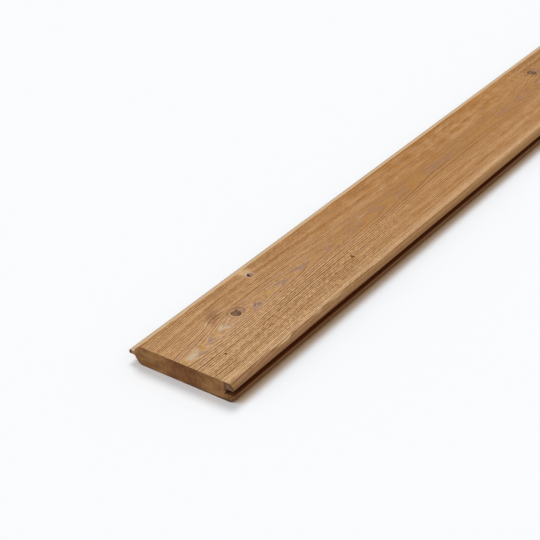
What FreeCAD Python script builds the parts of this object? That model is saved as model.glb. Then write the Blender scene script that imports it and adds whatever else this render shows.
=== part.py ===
import FreeCAD, Part
import os

import Sketcher

# A tongue and groove cladding board, planed to one section all along and sawn square at both ends.
# It lies on its back. X runs across it from the tongue to the groove, Y runs along the grain and Z
# up to the face. The origin is the middle of the back. Every size is in millimetres.

# Driving sizes: alias, value, meaning. Heights in the section are taken down from the face, as the
# faces of neighbouring boards have to lie flush. What is left under the groove is the lower lip.
SIZES = [
    ("board_length", 1800.0, "sawn length, a stock length"),
    ("overall_width", 118.0, "from the tip of the tongue to the nose of the upper lip"),
    ("board_thickness", 20.0, "from the back to the face"),
    ("bevel_height", 5.4, "height of both face bevels"),
    ("tongue_side_bevel", 5.6, "width of the face bevel above the tongue"),
    ("groove_side_bevel", 5.2, "width of the face bevel above the groove"),
    ("nose_height", 0.8, "upright nose of the upper lip, which meets the next board"),
    ("upper_lead_in", 1.2, "bevel from the nose of the upper lip into the groove"),
    ("lower_lead_in", 0.4, "bevel from the side of the lower lip into the groove"),
    ("lower_lip_setback", 0.3, "how far the lower lip stops short of the nose"),
    ("groove_depth", 9.4, "from the nose to the bottom of the groove"),
    ("slide_clearance", 0.3, "gap left above and below the tongue of the next board"),
    ("tongue_length", 6.2, "how far the tongue stands out of the shoulder"),
    ("tongue_thickness", 4.2, "thickness of the tongue at the shoulder"),
    ("tongue_taper", 0.2, "how much each side of the tongue comes in at the tip"),
    ("undercut_width", 6.0, "width of the slope from the tongue down to the back"),
    ("tongue_tip_radius", 0.7, "both arrises of the tongue"),
    ("groove_corner_radius", 0.5, "both corners at the bottom of the groove"),
    ("face_arris_radius", 1.5, "where the bevels meet the face"),
    ("nose_radius", 1.0, "where the bevel meets the nose"),
    ("undercut_radius", 6.0, "where the slope under the tongue meets the back"),
    ("back_radius", 5.5, "back arris under the groove"),
]

# Heights above the back, worked out in the sheet's own terms.
BEVEL_FOOT = "Sizes.board_thickness - Sizes.bevel_height"
GROOVE_TOP = f"({BEVEL_FOOT} - Sizes.nose_height - Sizes.upper_lead_in)"
GROOVE_HEIGHT = "(Sizes.tongue_thickness + 2 * Sizes.slide_clearance)"
LOWER_LIP = f"({GROOVE_TOP} - {GROOVE_HEIGHT})"

# The back arris never takes more than this share of the side of the lower lip.
BACK_ARRIS_SHARE = 0.75

# An edge that passes a corner of the section within this distance runs along that corner.
REACH = 0.02


def make_sheet(doc):
    """The sheet of driving sizes, one row each."""
    sheet = doc.addObject("Spreadsheet::Sheet", "Sizes")
    for row, (alias, value, meaning) in enumerate(SIZES, start=1):
        sheet.set(f"A{row}", alias)
        sheet.set(f"B{row}", str(value))
        sheet.set(f"C{row}", meaning)
        sheet.setAlias(f"B{row}", alias)
    doc.recompute()
    return sheet


def section_corners(sheet):
    """The corners of the section before its arrises are rounded: name to (x, z). They run round the
    section in order, from the left end of the back to the right and over the face."""
    half = sheet.overall_width / 2
    shoulder = sheet.tongue_length - half
    top = sheet.board_thickness
    foot = top - sheet.bevel_height
    nose_low = foot - sheet.nose_height
    groove_top = nose_low - sheet.upper_lead_in
    tongue_top = groove_top - sheet.slide_clearance
    tongue_low = tongue_top - sheet.tongue_thickness
    groove_low = tongue_low - sheet.slide_clearance
    groove_wall = half - sheet.groove_depth
    lip_side = half - sheet.lower_lip_setback
    return {
        "back_left": (shoulder + sheet.undercut_width, 0),
        "back_right": (lip_side, 0),
        "lip_side_top": (lip_side, groove_low - sheet.lower_lead_in),
        "lip_mouth": (lip_side - sheet.lower_lead_in, groove_low),
        "groove_low": (groove_wall, groove_low),
        "groove_high": (groove_wall, groove_top),
        "nose_mouth": (half - sheet.upper_lead_in, groove_top),
        "nose_low": (half, nose_low),
        "nose_high": (half, foot),
        "face_right": (half - sheet.groove_side_bevel, top),
        "face_left": (shoulder + sheet.tongue_side_bevel, top),
        "shoulder_high": (shoulder, foot),
        "tongue_root_high": (shoulder, tongue_top),
        "tongue_tip_high": (-half, tongue_top - sheet.tongue_taper),
        "tongue_tip_low": (-half, tongue_low + sheet.tongue_taper),
        "tongue_root_low": (shoulder, tongue_low),
    }


def origin_plane(body, role):
    """The body's own origin plane with this role."""
    for feature in body.Origin.OriginFeatures:
        if feature.Role == role:
            return feature
    raise ValueError(f"no {role} in {body.Label}")


def draw_section(body, sheet):
    """The closed outline of the section on the XZ plane, held by constraints that the sheet drives."""
    sketch = body.newObject("Sketcher::SketchObject", "Section")
    sketch.AttachmentSupport = [(origin_plane(body, "XZ_Plane"), "")]
    sketch.MapMode = "FlatFace"

    corners = section_corners(sheet)
    names = list(corners)
    points = [FreeCAD.Vector(x, z, 0) for x, z in corners.values()]
    count = len(points)
    for index in range(count):
        sketch.addGeometry(Part.LineSegment(points[index], points[(index + 1) % count]))
    for index in range(count):
        sketch.addConstraint(Sketcher.Constraint("Coincident", index, 2, (index + 1) % count, 1))

    # Each corner is the first point of the line with its own number.
    line = {name: index for index, name in enumerate(names)}
    for name in ("back_left", "lip_mouth", "groove_high", "face_right"):
        sketch.addConstraint(Sketcher.Constraint("Horizontal", line[name]))
    for name in ("back_right", "groove_low", "nose_low", "shoulder_high", "tongue_tip_high"):
        sketch.addConstraint(Sketcher.Constraint("Vertical", line[name]))
    root_high = line["tongue_root_high"]
    root_low = line["tongue_root_low"]
    sketch.addConstraint(Sketcher.Constraint("Vertical", root_high, 1, root_low, 1))
    sketch.addConstraint(Sketcher.Constraint("PointOnObject", line["back_left"], 1, -1))

    def size(kind, start, end, label, formula):
        """A dimension from one corner (or None for the origin) to another, bound to a formula."""
        first = (-1, 1) if start is None else (line[start], 1)
        second = (-1, 1) if end is None else (line[end], 1)
        axis = 0 if kind == "DistanceX" else 1
        from_value = 0 if start is None else corners[start][axis]
        to_value = 0 if end is None else corners[end][axis]
        value = to_value - from_value
        number = sketch.addConstraint(Sketcher.Constraint(kind, *first, *second, value))
        sketch.renameConstraint(number, label)
        sketch.setExpression(f"Constraints.{label}", formula)

    size("DistanceX", "tongue_tip_high", None, "tip_out", "Sizes.overall_width / 2")
    size("DistanceX", None, "nose_high", "nose_out", "Sizes.overall_width / 2")
    size("DistanceY", "back_left", "face_left", "thickness", "Sizes.board_thickness")

    size("DistanceY", "shoulder_high", "face_left", "left_bevel_height", "Sizes.bevel_height")
    size("DistanceX", "shoulder_high", "face_left", "left_bevel_width", "Sizes.tongue_side_bevel")
    size("DistanceY", "nose_high", "face_right", "right_bevel_height", "Sizes.bevel_height")
    size("DistanceX", "face_right", "nose_high", "right_bevel_width", "Sizes.groove_side_bevel")

    size("DistanceY", "nose_low", "nose_high", "nose_flat", "Sizes.nose_height")
    size("DistanceX", "nose_mouth", "nose_low", "upper_mouth_width", "Sizes.upper_lead_in")
    size("DistanceY", "nose_mouth", "nose_low", "upper_mouth_height", "Sizes.upper_lead_in")
    size("DistanceX", "groove_high", "nose_low", "groove_reach", "Sizes.groove_depth")
    size("DistanceY", "groove_low", "groove_high", "groove_gap", GROOVE_HEIGHT)

    size("DistanceX", "lip_side_top", "nose_low", "lip_setback", "Sizes.lower_lip_setback")
    size("DistanceX", "lip_mouth", "lip_side_top", "lower_mouth_width", "Sizes.lower_lead_in")
    size("DistanceY", "lip_side_top", "lip_mouth", "lower_mouth_height", "Sizes.lower_lead_in")

    size("DistanceX", "tongue_tip_high", "tongue_root_high", "tongue_out", "Sizes.tongue_length")
    size("DistanceY", "tongue_root_low", "tongue_root_high", "tongue_root", "Sizes.tongue_thickness")
    size("DistanceY", "groove_low", "tongue_root_low", "tongue_lift", "Sizes.slide_clearance")
    size("DistanceY", "tongue_tip_high", "tongue_root_high", "taper_high", "Sizes.tongue_taper")
    size("DistanceY", "tongue_root_low", "tongue_tip_low", "taper_low", "Sizes.tongue_taper")
    size("DistanceX", "tongue_root_low", "back_left", "undercut_out", "Sizes.undercut_width")
    return sketch


def run_along(body, sketch):
    """The section run along the grain, half the length to each side of the origin."""
    pad = body.newObject("PartDesign::Pad", "Length")
    pad.Profile = sketch
    pad.SideType = "Symmetric"
    pad.setExpression("Length", "Sizes.board_length")
    body.Document.recompute()
    return pad


def edges_at(shape, corners):
    """Names of the long edges of a shape that run along these corners of the section."""
    found = []
    for x, z in corners:
        for number, edge in enumerate(shape.Edges, start=1):
            start = edge.Vertexes[0].Point
            end = edge.Vertexes[-1].Point
            long_way = abs(start.y - end.y) > REACH
            off = max(abs(start.x - x), abs(start.z - z), abs(end.x - x), abs(end.z - z))
            if long_way and off < REACH:
                found.append(f"Edge{number}")
                break
        else:
            raise ValueError(f"no long edge at x {x}, z {z}")
    return found


def round_arrises(body, base, corners, name, radius):
    """Round the long edges at these corners; the radius is a formula of the sheet."""
    fillet = body.newObject("PartDesign::Fillet", name)
    fillet.Base = (base, edges_at(base.Shape, corners))
    fillet.setExpression("Radius", radius)
    body.Document.recompute()
    return fillet


def make_board(doc, sheet):
    """The whole board: section, length and rounded arrises."""
    body = doc.addObject("PartDesign::Body", "Board")
    body.Label = "tongue_and_groove_board"
    sketch = draw_section(body, sheet)
    doc.recompute()
    solid = run_along(body, sketch)

    at = section_corners(sheet)
    lip_side = f"({LOWER_LIP} - Sizes.lower_lead_in)"
    back_radius = f"min(Sizes.back_radius; {BACK_ARRIS_SHARE} * {lip_side})"
    rounds = [
        ("TongueTip", ("tongue_tip_high", "tongue_tip_low"), "Sizes.tongue_tip_radius"),
        ("GrooveCorners", ("groove_low", "groove_high"), "Sizes.groove_corner_radius"),
        ("FaceArrises", ("face_left", "face_right"), "Sizes.face_arris_radius"),
        ("Nose", ("nose_high",), "Sizes.nose_radius"),
        ("Undercut", ("back_left",), "Sizes.undercut_radius"),
        ("BackArris", ("back_right",), back_radius),
    ]
    for name, corners, radius in rounds:
        solid = round_arrises(body, solid, [at[corner] for corner in corners], name, radius)
    return body


def check(doc, bodies):
    """Stop on anything that did not build, so that no broken shape is written."""
    for thing in doc.Objects:
        for flag in ("Invalid", "Error"):
            if flag in thing.State:
                raise ValueError(f"{thing.Label}: {thing.State}")
    for body in bodies:
        shape = body.Shape
        if shape.isNull() or not shape.isValid():
            raise ValueError(f"{body.Label}: no valid shape")
        if len(shape.Solids) != 1:
            raise ValueError(f"{body.Label}: {len(shape.Solids)} solids")


def main():
    doc = FreeCAD.newDocument("tongue_and_groove_board")
    sheet = make_sheet(doc)
    board = make_board(doc, sheet)
    doc.recompute()
    check(doc, [board])

    os.makedirs("parts", exist_ok=True)
    board.Shape.exportStep(f"parts/{board.Label}.step")
    box = board.Shape.BoundBox
    print(f"{board.Label}: {box.XLength:.2f} x {box.YLength:.2f} x {box.ZLength:.2f} mm")
    print(f"volume {board.Shape.Volume / 1000:.1f} cm3, faces {len(board.Shape.Faces)}")


main()
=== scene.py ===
"""A tongue and groove cladding board of brushed, heat-browned softwood, lying on a pale floor.

The board is modelled by hand from a box and cut into fine columns that run along the grain. One
record of the tree, its pith, growth rings and knots, then shapes the brushed relief and colours
every side. X runs across the board from the tongue to the groove, Y along the grain away from the end
that the camera sees, and Z up to the face. Lengths are in metres. The tree is in millimetres, across
from the middle of the board, along from its near end and up from its back.
"""

import math
from typing import NamedTuple

import bmesh
import bpy
import numpy as np
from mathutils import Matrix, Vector, noise


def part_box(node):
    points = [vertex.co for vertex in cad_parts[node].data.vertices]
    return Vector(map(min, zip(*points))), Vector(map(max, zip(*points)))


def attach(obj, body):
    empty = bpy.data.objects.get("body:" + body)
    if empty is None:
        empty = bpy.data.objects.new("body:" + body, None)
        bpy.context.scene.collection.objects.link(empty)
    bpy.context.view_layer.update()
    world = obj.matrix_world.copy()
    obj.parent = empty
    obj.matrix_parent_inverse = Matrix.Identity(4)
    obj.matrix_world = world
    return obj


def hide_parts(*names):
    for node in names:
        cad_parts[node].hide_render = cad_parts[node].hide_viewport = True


bl_info = {
    "name": "Tongue and groove board",
    "version": (1, 0, 0),
    "blender": (4, 5, 0),
    "location": "3D View > Sidebar > Board",
    "description": "Models and finishes one tongue and groove board and its stage",
    "category": "Object",
}

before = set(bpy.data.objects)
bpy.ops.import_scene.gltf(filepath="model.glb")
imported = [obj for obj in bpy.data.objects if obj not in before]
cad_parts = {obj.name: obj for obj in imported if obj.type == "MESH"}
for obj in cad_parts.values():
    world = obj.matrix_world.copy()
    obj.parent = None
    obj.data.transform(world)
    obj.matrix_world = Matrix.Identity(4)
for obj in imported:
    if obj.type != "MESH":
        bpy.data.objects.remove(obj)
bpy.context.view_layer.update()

BOARD_NODE = "tongue_and_groove_board"
LOW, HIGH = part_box(BOARD_NODE)

MM = 0.001
SAME = 1e-5


# The tree


# Where the pith runs: along, across, and down from the face.
PITH_ALONG, PITH_ACROSS, PITH_DEPTH = np.array([
    (-60, 4.6, 19.7), (8, 3.4, 13.6), (36, 2.2, 11.8), (60, 0.8, 10.1), (90, -0.6, 9.0),
    (122, -1.4, 10.0), (169, -1.6, 11.8), (212, -1.4, 13.6), (250, -0.4, 15.3), (305, 0.4, 17.1),
    (388, 1.2, 20.2), (475, 1.4, 22.1), (610, 0.6, 20.8), (760, -2.5, 14.3), (900, -1.0, 17.2),
    (1080, 2.5, 21.7), (1240, 1.0, 13.9), (1390, -2.0, 19.3), (1560, -3.0, 22.5),
    (1680, -1.0, 15.6), (1860, 2.0, 21.3),
]).T


class Knot(NamedTuple):
    """A branch that comes up from the pith and meets the face."""

    across: float  # where it meets the face
    along: float
    size: float  # radius on the face, 0 for one that stays under it
    swell: float  # how far it pushes the growth rings out
    wide: float  # reach of that push across and along the grain
    far: float
    tone: float  # 0 for a pale, live knot to 1 for a dark, dead one
    lean: float = 6.0  # how far the branch climbs from the pith to the face


KNOTS = [
    Knot(-6.6, 94.0, 4.7, 2.8, 9.0, 26.0, 0.62, 4.0),
    Knot(-19.5, 75.0, 0.0, 3.0, 6.5, 15.0, 0.0),
    Knot(-35.4, 156.6, 3.2, 1.9, 8.0, 18.0, 0.9, 3.0),
    Knot(24.4, 35.0, 1.5, 0.3, 3.0, 8.0, 1.0),
    Knot(28.6, 243.6, 2.2, 1.7, 3.4, 9.0, 1.0),
    Knot(-22.0, 748.0, 5.6, 3.4, 11.0, 40.0, 0.7),
    Knot(19.0, 771.0, 4.2, 2.6, 9.0, 30.0, 0.5),
    Knot(-41.0, 1082.0, 2.2, 1.0, 5.0, 18.0, 1.0),
    Knot(5.0, 1236.0, 6.2, 4.0, 12.0, 42.0, 0.6),
    Knot(36.0, 1262.0, 3.8, 2.2, 8.0, 26.0, 0.88),
    Knot(-29.0, 1655.0, 5.0, 3.0, 10.0, 36.0, 0.75),
    Knot(13.0, 1683.0, 3.0, 1.6, 7.0, 22.0, 0.9),
]

RING_WIDTH = 1.8
FIRST_LATE = 10.1  # radius of the late wood that meets the face at 60 mm
FIRST_COUNT = 20  # number of that ring, which keeps all counts above 0
FACE = 20.0
NEAR_PITH = 4.0  # branches keep this least distance from the pith
KNOT_REACH = 3.4  # in a knot's radii; further out its tone is stored as 0
FAR_OFF = 9.0  # a place from a knot, in its radii, that is clear of it


class Line(NamedTuple):
    """A stretch of one growth ring that stands out dark on the face."""

    across: float
    start: float
    end: float
    strength: float


LINES = [
    Line(*row)
    for row in (
        (-5.0, -20, 52, 0.5), (-9.5, -20, 60, 0.45), (11.5, -20, 30, 0.4), (18.8, -20, 34, 0.7),
        (21.0, 38, 66, 0.8), (21.2, 88, 236, 0.9), (31.6, 40, 152, 0.6), (37.8, -20, 38, 0.8),
        (44.0, 0, 78, 0.5), (32.0, 196, 241, 0.9), (28.0, 250, 288, 0.9), (41.0, 286, 300, 1.0),
        (16.0, 96, 250, 0.7), (12.5, 250, 480, 0.6), (-23.0, 20, 38, 0.8), (-28.0, 2, 44, 0.5),
        (-36.5, 0, 24, 0.6), (-35.0, 62, 112, 0.5), (-24.5, 134, 152, 0.8), (-16.0, 64, 90, 0.6),
        (-19.0, 60, 90, 0.8), (-22.5, 64, 94, 0.6), (29.8, 222, 243, 0.9), (27.4, 244, 256, 0.9),
        (25.0, 118, 226, 0.6), (35.0, 132, 226, 0.6), (-17.0, 120, 200, 0.5),
        (-33.0, 190, 262, 0.5), (21.0, 400, 520, 0.5), (33.0, 420, 540, 0.5),
    )
]
LINE_FADE = 6.0  # a line comes and goes over this distance to both sides of its ends


class Stain(NamedTuple):
    """A soft patch of colour along the flame."""

    kind: int  # MAUVE, CREAM or OCHRE
    across: float
    along: float
    wide: float
    far: float
    slant: float
    strength: float


MAUVE, CREAM, OCHRE = range(3)

STAINS = [
    Stain(kind, *row)
    for kind, rows in (
        (MAUVE, (
            (4.2, 24, 1.6, 4, 0.2, 0.8), (8.6, 27, 1.4, 6, 0.3, 0.6), (1.6, 44, 1.8, 7, 0.15, 0.8),
            (-1.6, 46, 1.6, 7, -0.25, 0.8), (-1.0, 75, 3.0, 4, -0.2, 0.55),
            (3.6, 80, 1.5, 9, 0.0, 0.4), (-19.0, 75, 6.6, 11, -0.45, 1.15),
            (-25.0, 80, 5.0, 12, -0.30, 0.6), (-34.0, 164, 4.0, 5, 0.3, 0.45),
            (-28.4, 161, 2.0, 8, 0.1, 0.7), (3.4, 112, 1.0, 5, -0.35, 1.3),
            (-0.6, 116, 2.0, 5, -0.6, 1.6), (1.4, 120, 2.6, 3, -0.3, 1.5),
            (-3.2, 161, 1.5, 9, 0.18, 1.1), (0.2, 164, 1.8, 5, -0.30, 1.2),
            (-4.6, 191, 2.2, 9, 0.05, 1.0), (-1.6, 197, 1.8, 8, -0.10, 1.0),
            (-2.4, 210, 2.2, 6, 0.0, 0.7), (0.0, 244, 5.0, 9, 0.0, 0.55),
            (13.0, 262, 3.6, 12, 0.0, 0.5), (-8.0, 296, 2.4, 12, 0.05, 0.6),
            (-5.0, 336, 3.0, 12, -0.05, 0.7), (1.0, 384, 4.0, 12, 0.0, 0.7),
            (0.6, 456, 5.0, 22, 0.0, 0.8),
        )),
        (CREAM, (
            (2.6, 15, 3.0, 7, 0.05, 1.1), (0.2, 22, 1.3, 5, -0.35, 0.9),
            (-3.4, 66, 2.0, 6, -0.4, 0.95), (-0.6, 70, 2.0, 6, 0.3, 0.9),
            (-43.0, 157, 3.4, 9, 0.0, 0.8), (-31.6, 160, 1.6, 5, 0.1, 0.4),
            (-17.5, 62, 2.2, 4, -0.3, 0.4), (-6.5, 316, 2.6, 12, 0.0, 0.45),
        )),
        (OCHRE, (
            (0.6, 31, 4.0, 4, -0.3, 1.1), (2.6, 4, 2.6, 5, 0.0, 1.0),
            (-3.6, 54, 2.6, 6, -0.2, 0.85), (-0.2, 59, 1.6, 5, 0.2, 0.8),
            (1.6, 106, 2.4, 5, -0.4, 1.1), (1.2, 113, 1.0, 4, -0.4, 0.9),
            (-3.0, 136, 3.4, 12, 0.0, 0.9), (3.5, 128, 1.4, 7, 0.0, 0.6),
            (4.6, 162, 1.4, 6, -0.2, 0.6), (-6.6, 170, 1.6, 6, 0.1, 0.6),
            (-2.0, 181, 2.2, 5, 0.0, 0.8), (-8.0, 218, 1.4, 8, 0.0, 0.5),
            (-3.0, 266, 2.0, 9, 0.0, 0.5), (-0.5, 302, 1.5, 14, 0.0, 0.6),
            (-3.0, 366, 2.4, 6, 0.0, 0.7), (-1.0, 522, 4.0, 22, 0.0, 0.7),
        )),
    )
    for row in rows
]

# Out of the camera's sight the flame's stains are scattered with a seed.
SCATTER_FROM = 590
SCATTER_TO = 1790
SCATTER_SEED = 11


class Dent(NamedTuple):
    """A soft place on an arris, which the brush has worn away."""

    across: float
    along: float
    reach: float
    depth: float


DENTS = [
    Dent(54.2, 88.0, 12.0, 0.95),
    Dent(53.8, 143.0, 9.0, 0.35),
    Dent(53.8, 178.0, 13.0, 0.3),
    Dent(53.8, 262.0, 22.0, 0.25),
    Dent(-47.0, 66.0, 9.0, 0.3),
    Dent(-47.0, 157.0, 8.0, 0.4),
    Dent(-47.0, 231.0, 16.0, 0.3),
    Dent(53.6, 905.0, 16.0, 0.8),
    Dent(-47.0, 1320.0, 18.0, 0.6),
    Dent(53.6, 1490.0, 12.0, 0.7),
]
DENT_WIDE = 2.4  # reach of every dent across the grain

# The paler wood of a dent: how far out from it, how wide, and from what depth in full.
PALE_OUT = 1.2
PALE_WIDE = 2.6
PALE_DEPTH = 0.7


def smooth(value, low, high):
    """0 below low, 1 above high and an even curve between."""
    part = np.clip((value - low) / (high - low), 0, 1)
    return part * part * (3 - 2 * part)


def follow(at, marks, values):
    """An even curve through values at marks, with the slope of the chord over both neighbours."""
    marks = np.array(marks, float)
    values = np.array(values, float)
    slopes = np.gradient(values, marks)
    at = np.clip(at, marks[0], marks[-1])
    step = np.clip(np.searchsorted(marks, at, side="right") - 1, 0, len(marks) - 2)
    gap = marks[step + 1] - marks[step]
    part = (at - marks[step]) / gap
    back = 1 - part
    return (
        values[step] * back * back * (1 + 2 * part)
        + values[step + 1] * part * part * (1 + 2 * back)
        + gap * part * back * (slopes[step] * back - slopes[step + 1] * part)
    )


def pith_across(along):
    return follow(along, PITH_ALONG, PITH_ACROSS)


def pith_depth(along):
    return follow(along, PITH_ALONG, PITH_DEPTH)


def branch_offsets(knot, across, along, up):
    """How far points lie from a knot's axis, across and along the grain, and its radius there."""
    depth = pith_depth(knot.along)
    share = np.clip((up - FACE + depth) / depth, NEAR_PITH / depth, None)
    middle = pith_across(knot.along)
    axis = middle + (knot.across - middle) * share
    climb = knot.along - knot.lean * (1 - share)
    return across - axis, along - climb, knot.size * share


def grow_rings(across, along, up):
    """Ring count from the pith, and how nearly the rings lie flat, 1 where they do."""
    sideways = across - pith_across(along)
    outward = up - FACE + pith_depth(along)
    radius = np.hypot(sideways, outward)
    flat = outward / np.maximum(radius, 1)
    for knot in KNOTS:
        off, beyond, _ = branch_offsets(knot, across, along, up)
        push = knot.swell * np.exp(-((off / knot.wide) ** 2) - (beyond / knot.far) ** 2)
        radius = radius - push * smooth(radius, 0, 6)
    radius = radius + 0.20 * np.sin(along / 31 + across / 14)
    radius = radius + 0.09 * np.sin(along / 11.3 - across / 6 + 2)
    count = (radius - FIRST_LATE) / RING_WIDTH + FIRST_COUNT
    return count + 0.07 * np.sin(1.1 * radius) + 0.09 * np.sin(0.37 * radius + 1), flat


def nearest_knot(across, along, up):
    """Each point's place from its nearest knot's axis, in that knot's radii, and the knot's tone."""
    place = np.full((len(across), 3), FAR_OFF)
    best = np.full(len(across), np.inf)
    for knot in KNOTS:
        if not knot.size:
            continue
        off, beyond, radius = branch_offsets(knot, across, along, up)
        apart = np.hypot(off, beyond) / math.sqrt(knot.size)
        nearer = apart < best
        best[nearer] = apart[nearer]
        here = np.stack([off / radius, beyond / radius, np.full_like(off, knot.tone)], 1)
        place[nearer] = here[nearer]
    place[np.hypot(place[:, 0], place[:, 1]) > KNOT_REACH, 2] = 0
    return place


def marked_rings(across, along, count):
    """How dark the nearest ring is drawn, by the table of lines."""
    marked = np.zeros(len(across))
    ring = np.round(count)
    for line in LINES:
        middle = (max(line.start, 0) + line.end) / 2
        found, _ = grow_rings(*np.array([[line.across], [middle], [FACE]]))
        same = (ring == np.round(found[0])) & (np.sign(across) == np.sign(line.across))
        begun = smooth(along, line.start - LINE_FADE, line.start + LINE_FADE)
        ended = smooth(along, line.end - LINE_FADE, line.end + LINE_FADE)
        marked = np.maximum(marked, line.strength * begun * (1 - ended) * same)
    return marked


def stained(across, along, up):
    """Amounts of mauve, cream and ochre in the flame."""
    scatter = np.random.default_rng(SCATTER_SEED)
    stains = list(STAINS)
    here = SCATTER_FROM
    while here < SCATTER_TO:
        middle = float(pith_across(np.array([here]))[0])
        stains.append(
            Stain(
                int(scatter.choice((MAUVE, OCHRE, MAUVE, CREAM))),
                middle + scatter.uniform(-3, 3), here, scatter.uniform(2, 4.5),
                scatter.uniform(6, 20), 0.0, scatter.uniform(0.4, 0.8),
            )
        )
        here += scatter.uniform(14, 34)
    found = np.zeros((len(across), 3))
    for stain in stains:
        beyond = along - stain.along
        off = across - stain.across - stain.slant * beyond
        there = np.exp(-((off / stain.wide) ** 2) - (beyond / stain.far) ** 2)
        there *= smooth(up, FACE - 3, FACE - 1)
        found[:, stain.kind] = np.maximum(found[:, stain.kind], stain.strength * there)
    return found


def dent_reach(dent, along):
    """How far points lie from a dent, in its reach, which is long before it and short beyond."""
    beyond = (along - dent.along) / dent.reach
    return beyond * np.where(beyond > 0, 2.0, 0.75)


def worn_arrises(across, along):
    """Where the arrises are worn round and show paler wood."""
    found = np.zeros(len(across))
    for dent in DENTS:
        beyond = dent_reach(dent, along)
        off = (across - dent.across - np.sign(dent.across) * PALE_OUT) / PALE_WIDE
        worn = np.exp(-(off ** 2) - beyond ** 2)
        found = np.maximum(found, worn * min(1, dent.depth / PALE_DEPTH))
    return found


def ring_strength(number):
    """How hard each ring's late wood is, from 0 to 1, without a pattern that shows."""
    return 0.5 + 0.5 * np.sin(number * 2.4 + 2 * np.sin(number * 5.1))


# Settings


def number(name, words, default, **more):
    return bpy.props.FloatProperty(name=name, description=words, default=default, **more)


def length(name, words, default):
    return number(name, words, default, unit="LENGTH", precision=4)


def angle(name, words, degrees):
    return number(name, words, math.radians(degrees), subtype="ANGLE")


def vector(name, words, default, subtype, **more):
    return bpy.props.FloatVectorProperty(
        name=name, description=words, default=default, subtype=subtype, **more
    )


def colour(name, words, default):
    return vector(name, words, default, "COLOR", min=0, max=1)


class BoardSection(bpy.types.PropertyGroup):
    """Sizes of the planed section."""

    bevel_height: length("Bevel height", "Height of both face bevels", 0.0054)
    tongue_side_bevel: length("Tongue side bevel", "Width of the bevel over the tongue", 0.0056)
    groove_side_bevel: length("Groove side bevel", "Width of the bevel over the groove", 0.0052)
    nose_height: length("Nose height", "Upright nose of the upper lip", 0.0008)
    upper_lead_in: length("Upper lead-in", "Bevel from the nose into the groove", 0.0012)
    lower_lead_in: length("Lower lead-in", "Bevel from the lower lip into the groove", 0.0004)
    lip_setback: length("Lip setback", "How far the lower lip stops short", 0.0003)
    groove_depth: length("Groove depth", "From the nose to the groove's bottom", 0.0094)
    slide_clearance: length("Slide clearance", "Gap above and below a tongue", 0.0003)
    tongue_length: length("Tongue length", "How far the tongue stands out", 0.0062)
    tongue_thickness: length("Tongue thickness", "At the shoulder", 0.0042)
    tongue_taper: length("Tongue taper", "How much each side comes in", 0.0002)
    undercut_width: length("Undercut width", "Slope from the tongue to the back", 0.0060)
    tongue_tip_radius: length("Tongue tip radius", "Both arrises of the tongue", 0.0007)
    groove_corner_radius: length("Groove corner radius", "Bottom of the groove", 0.0005)
    face_arris_radius: length("Face arris radius", "Where bevels meet the face", 0.0015)
    nose_radius: length("Nose radius", "Where the bevel meets the nose", 0.0010)
    undercut_radius: length("Undercut radius", "Where the slope meets the back", 0.0060)
    back_radius: length("Back radius", "Back arris under the groove", 0.0055)


class BrushedRelief(bpy.types.PropertyGroup):
    """How finely the board is cut up, and how deep the brush went."""

    column: length("Column", "Width of the mesh's columns on the face", 0.00038)
    plain_column: length("Plain column", "Width of the columns elsewhere", 0.0035)
    deepest: length("Deepest", "What full weight takes away", 0.0013)
    groove: length("Groove", "How deep the brush cleared soft early wood", 0.00055)
    wave: length("Wave", "Slow unevenness of the brushed face", 0.00012)
    seed: bpy.props.IntProperty(name="Seed", description="Which unevenness", default=7)


class WoodColours(bpy.types.PropertyGroup):
    """Colours of the heat-browned wood."""

    early_light: colour("Early wood, light", "Pale wood between rings", (0.76, 0.475, 0.242))
    early_deep: colour("Early wood, deep", "Browner pale wood", (0.59, 0.31, 0.122))
    warm: colour("Warm band", "Orange tint on the tongue side", (0.46, 0.20, 0.050))
    late: colour("Late wood", "Brown lines of the rings", (0.28, 0.112, 0.031))
    # The crevice colour is partly dirt and partly painted shade in the brushed-out lines; pin knots
    # take it too.
    crevice: colour("Crevice", "Brushed-out lines beside the rings", (0.18, 0.064, 0.018))
    ochre: colour("Ochre", "Yellow early wood of the flame", (0.52, 0.285, 0.085))
    rosy: colour("Rosy", "Pinkish wood round the flame", (0.60, 0.335, 0.195))
    mauve: colour("Mauve", "Grey late wood of the flame", (0.355, 0.22, 0.175))
    cream: colour("Cream", "Pale patches of the flame", (0.66, 0.50, 0.33))
    worn: colour("Worn", "Pale wood on worn arrises", (0.84, 0.555, 0.305))
    # Besides knot bark, this dark is laid as painted shade at the groove's ends and along the foot of
    # the sawn ends.
    bark_and_shade: colour("Knot rim", "Dark bark round a knot", (0.06, 0.03, 0.018))
    knot_heart: colour("Knot heart", "Wood of a knot", (0.215, 0.115, 0.067))
    tongue: colour("Tongue", "Pale planed wood of the tongue", (0.56, 0.42, 0.27))
    planed: colour("Planed wood", "Back and lips", (0.36, 0.155, 0.058))
    # Painted shade: this dark is laid in the groove and on the side of the lower lip, far darker than
    # the planed wood.
    groove: colour("Groove", "Scorched wood in the groove", (0.19, 0.040, 0.005))
    end_light: colour("End grain, light", "Sawn end between rings", (0.415, 0.212, 0.081))
    end_deep: colour("End grain, deep", "Rings on the sawn end", (0.16, 0.055, 0.02))
    split: colour("Split", "Dark inside of a split knot", (0.01, 0.006, 0.004))


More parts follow.
